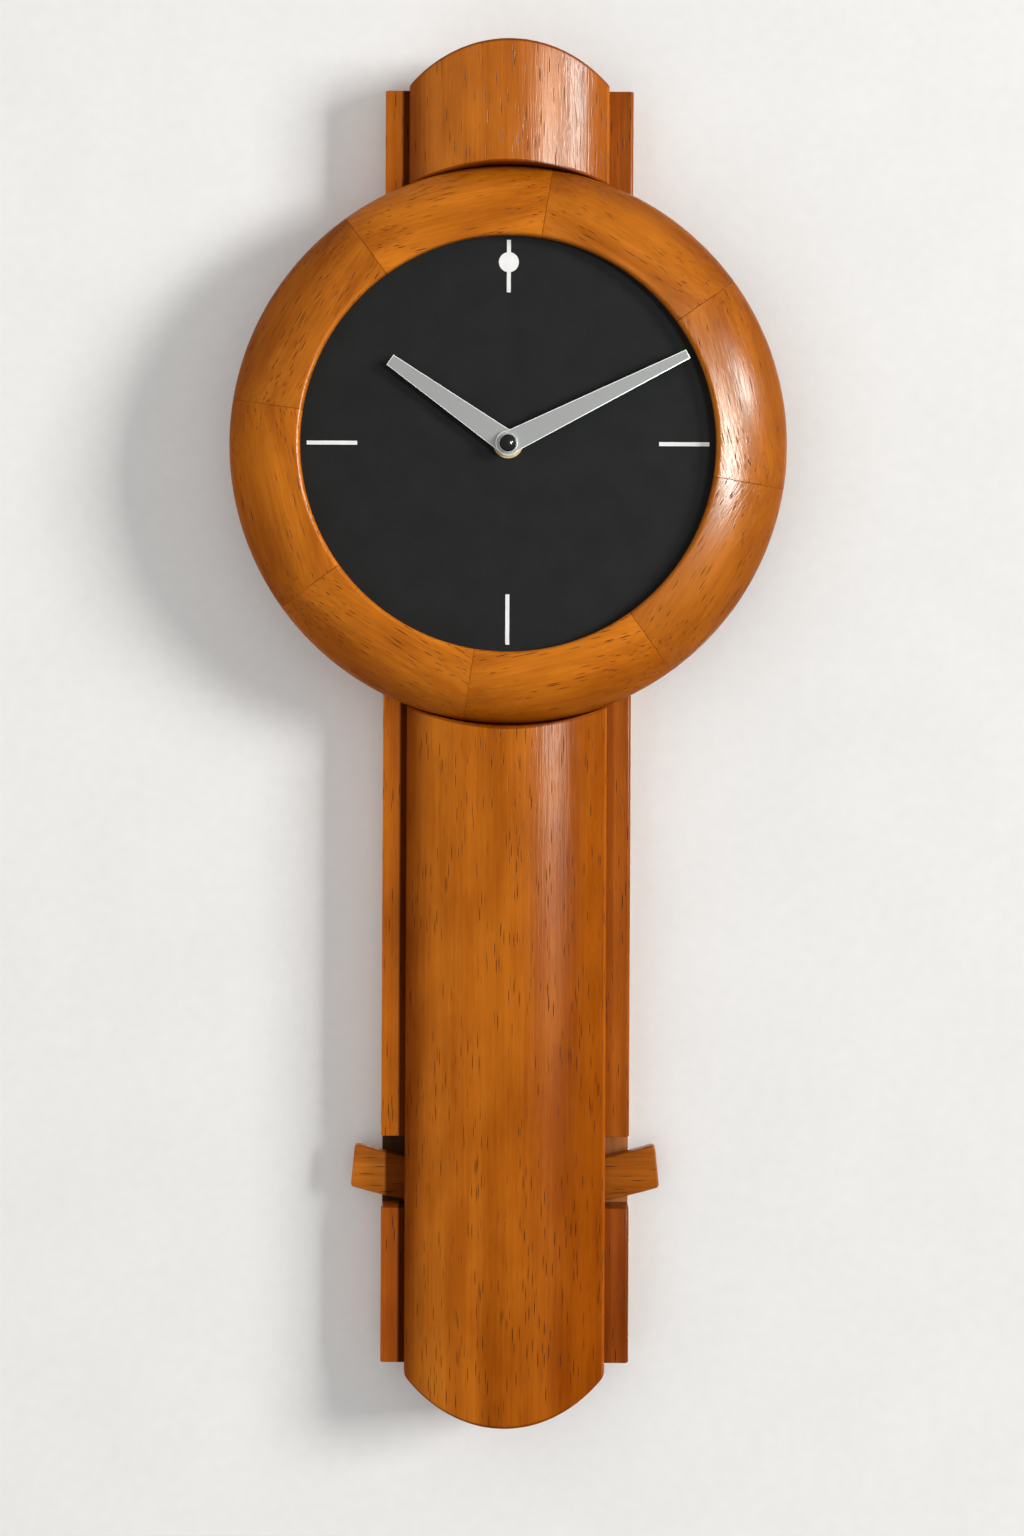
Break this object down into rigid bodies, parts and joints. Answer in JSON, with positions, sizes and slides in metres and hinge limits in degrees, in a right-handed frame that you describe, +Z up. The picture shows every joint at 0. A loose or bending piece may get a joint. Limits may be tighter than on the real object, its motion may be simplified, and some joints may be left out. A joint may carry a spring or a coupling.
{
  "type": "pendulum wall clock",
  "caption": "Slim wooden wall clock: round turned bezel over a tall narrow case with half-round covers, plain hands on a black dial, curved crossbar pendulum.",
  "frame": {"origin": "centre of the hanger plate's round hole, in the plane of the backboard's rear face, which lies on the wall", "axes": "+Z up the wall, +Y into the wall, so the dial faces -Y, +X to the right as seen from the front"},
  "size_m": [0.254, 0.0541, 0.6278],
  "materials": {
    "board_wood": "bare plywood, unfinished, pale brown",
    "rail_wood": "fine straight-grained brown hardwood, satin lacquer",
    "inner_wood": "bare brown hardwood",
    "cover_wood": "fine-pored reddish brown hardwood, satin lacquer",
    "bezel_wood": "turned reddish brown hardwood, satin lacquer",
    "bar_wood": "reddish brown hardwood, satin lacquer",
    "dial_black": "matt black",
    "mark_white": "matt white",
    "screw_steel": "zinc plated",
    "hanger_steel": "zinc plated sheet",
    "movement_plastic": "moulded black plastic, fine texture",
    "battery_wrap": "plain grey wrap, bare ends",
    "contact_steel": "nickel plated",
    "fitting_brass": "turned brass",
    "washer_rubber": "black rubber",
    "circuit_green": "green board",
    "core_steel": "bare steel",
    "magnet_steel": "nickel plated magnet",
    "coil_copper": "wound enamelled copper wire",
    "gear_plastic": "natural moulded plastic",
    "hand_silver": "satin silver lacquer with bright sheared edges",
    "nut_silver": "bright plated",
    "cap_black": "glossy black dome",
    "knob_black": "moulded black plastic",
    "lever_plastic": "moulded black plastic",
    "rod_brass": "satin brass strip"
  },
  "bodies": {
    "case": {"backboard": "board_wood", "left_upper_rail": "rail_wood", "right_upper_rail": "rail_wood", "left_lower_rail": "rail_wood", "right_lower_rail": "rail_wood", "top_block": "inner_wood", "bottom_block": "inner_wood", "cover_cleats": "inner_wood", "top_cover": "cover_wood", "lower_cover": "cover_wood", "bezel_segment_1": "bezel_wood", "bezel_segment_2": "bezel_wood", "bezel_segment_3": "bezel_wood", "bezel_segment_4": "bezel_wood", "bezel_segment_5": "bezel_wood", "bezel_segment_6": "bezel_wood", "bezel_segment_7": "bezel_wood", "bezel_segment_8": "bezel_wood", "dial": "dial_black", "hour_markers": "mark_white", "dial_screws": "screw_steel", "ring_screws": "screw_steel", "cover_screws": "screw_steel", "hanger_plate": "hanger_steel", "hanger_screws": "screw_steel", "movement_case": "movement_plastic", "movement_back": "movement_plastic", "battery": "battery_wrap", "battery_contacts": "contact_steel", "threaded_bushing": "fitting_brass", "rubber_washer": "washer_rubber", "dial_washer": "fitting_brass", "bushing_nut": "fitting_brass", "circuit_board": "circuit_green", "stator": "core_steel", "drive_coil": "coil_copper", "pendulum_coil": "coil_copper", "pendulum_pin": "core_steel"},
    "minute_arbor": {"cannon_pinion": "gear_plastic", "minute_hand": "hand_silver", "hand_nut": "nut_silver", "centre_cap": "cap_black"},
    "hour_arbor": {"hour_wheel": "gear_plastic", "hour_hand": "hand_silver"},
    "minute_gear": {"minute_wheel": "gear_plastic"},
    "setting_knob": {"set_knob": "knob_black"},
    "motor_rotor": {"rotor": "core_steel"},
    "intermediate_gear": {"intermediate_wheel": "gear_plastic"},
    "seconds_gear": {"seconds_wheel": "gear_plastic"},
    "third_gear": {"third_wheel": "gear_plastic"},
    "centre_gear": {"centre_wheel": "gear_plastic"},
    "pendulum": {"pendulum_lever": "lever_plastic", "lever_magnet": "magnet_steel", "pendulum_rod": "rod_brass", "crossbar": "bar_wood", "crossbar_screws": "fitting_brass"}
  },
  "joints": [
    {"name": "minute_hand_spin", "type": "hinge", "parent": "case", "child": "minute_arbor", "pos_m": [0, 0, -0.1336], "axis": [0, 1, 0], "continuous": true},
    {"name": "hour_hand_spin", "type": "hinge", "parent": "case", "child": "hour_arbor", "pos_m": [0, 0, -0.1336], "axis": [0, 1, 0], "continuous": true},
    {"name": "minute_wheel_spin", "type": "hinge", "parent": "case", "child": "minute_gear", "pos_m": [-0.00966, 0, -0.13101], "axis": [0, 1, 0], "continuous": true},
    {"name": "set_knob_spin", "type": "hinge", "parent": "case", "child": "setting_knob", "pos_m": [-0.01875, 0, -0.12576], "axis": [0, 1, 0], "continuous": true},
    {"name": "rotor_spin", "type": "hinge", "parent": "case", "child": "motor_rotor", "pos_m": [-0.0022, 0, -0.11735], "axis": [0, 1, 0], "continuous": true},
    {"name": "intermediate_wheel_spin", "type": "hinge", "parent": "case", "child": "intermediate_gear", "pos_m": [0.00217, 0, -0.11987], "axis": [0, 1, 0], "continuous": true},
    {"name": "seconds_wheel_spin", "type": "hinge", "parent": "case", "child": "seconds_gear", "pos_m": [0.00745, 0, -0.11987], "axis": [0, 1, 0], "continuous": true},
    {"name": "third_wheel_spin", "type": "hinge", "parent": "case", "child": "third_gear", "pos_m": [0.00745, 0, -0.12735], "axis": [0, 1, 0], "continuous": true},
    {"name": "centre_wheel_spin", "type": "hinge", "parent": "case", "child": "centre_gear", "pos_m": [0, 0, -0.1336], "axis": [0, 1, 0], "continuous": true},
    {"name": "pendulum_swing", "type": "hinge", "parent": "case", "child": "pendulum", "pos_m": [0, 0, -0.0836], "axis": [0, 1, 0], "range_deg": [-2.5, 2.5]}
  ],
  "couplings": [
    {"joint": "hour_hand_spin", "follows": "minute_hand_spin", "ratio": 0.083333},
    {"joint": "minute_wheel_spin", "follows": "minute_hand_spin", "ratio": -0.33333},
    {"joint": "set_knob_spin", "follows": "minute_hand_spin", "ratio": 0.83333},
    {"joint": "intermediate_wheel_spin", "follows": "rotor_spin", "ratio": -0.16667},
    {"joint": "seconds_wheel_spin", "follows": "rotor_spin", "ratio": 0.033333},
    {"joint": "third_wheel_spin", "follows": "rotor_spin", "ratio": -0.0044444},
    {"joint": "centre_wheel_spin", "follows": "rotor_spin", "ratio": 0.00055556}
  ]
}
